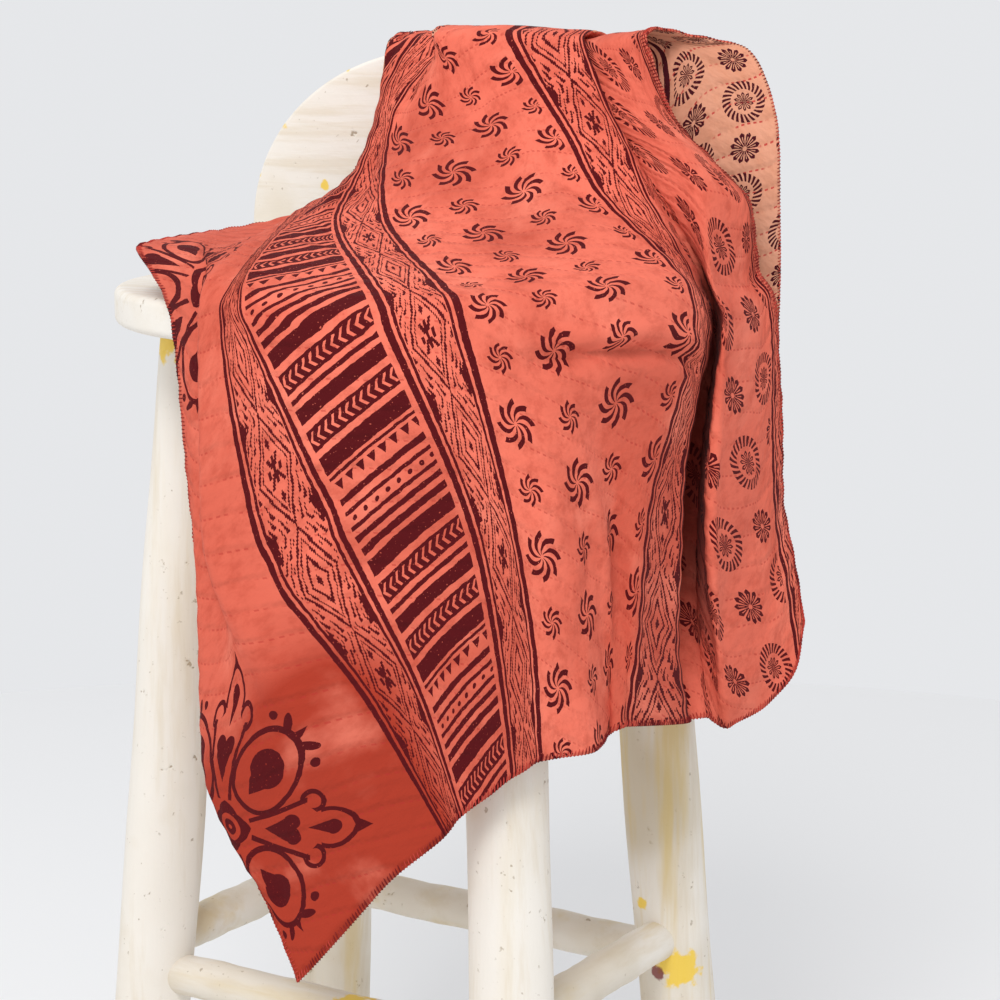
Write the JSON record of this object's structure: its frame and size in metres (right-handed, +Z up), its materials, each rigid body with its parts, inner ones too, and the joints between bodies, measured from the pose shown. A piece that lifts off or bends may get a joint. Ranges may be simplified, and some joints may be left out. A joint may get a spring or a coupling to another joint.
{
  "type": "kantha quilt draped over a high stool with a back board",
  "caption": "Thin stitched cotton quilt draped in pleats over the back board, seat and rim of a round whitewashed wooden high stool.",
  "frame": {"origin": "on the floor, under the middle of the bounding box", "axes": "+Z up; the stool's front, where the quilt hangs lowest, faces -Y and its back board is at +Y"},
  "size_m": [0.4226, 0.3908, 0.8549],
  "materials": {
    "quilt_cotton": "matte printed cotton with running stitch, peach on its reverse",
    "whitewashed_wood": "worn cream-white paint over wood"
  },
  "bodies": {
    "root": {"quilt": "quilt_cotton", "seat": "whitewashed_wood", "back_board": "whitewashed_wood", "leg_front_left": "whitewashed_wood", "leg_front_right": "whitewashed_wood", "leg_rear_left": "whitewashed_wood", "leg_rear_right": "whitewashed_wood", "stretcher_front": "whitewashed_wood", "stretcher_rear": "whitewashed_wood", "stretcher_left": "whitewashed_wood", "stretcher_right": "whitewashed_wood"}
  },
  "joints": []
}
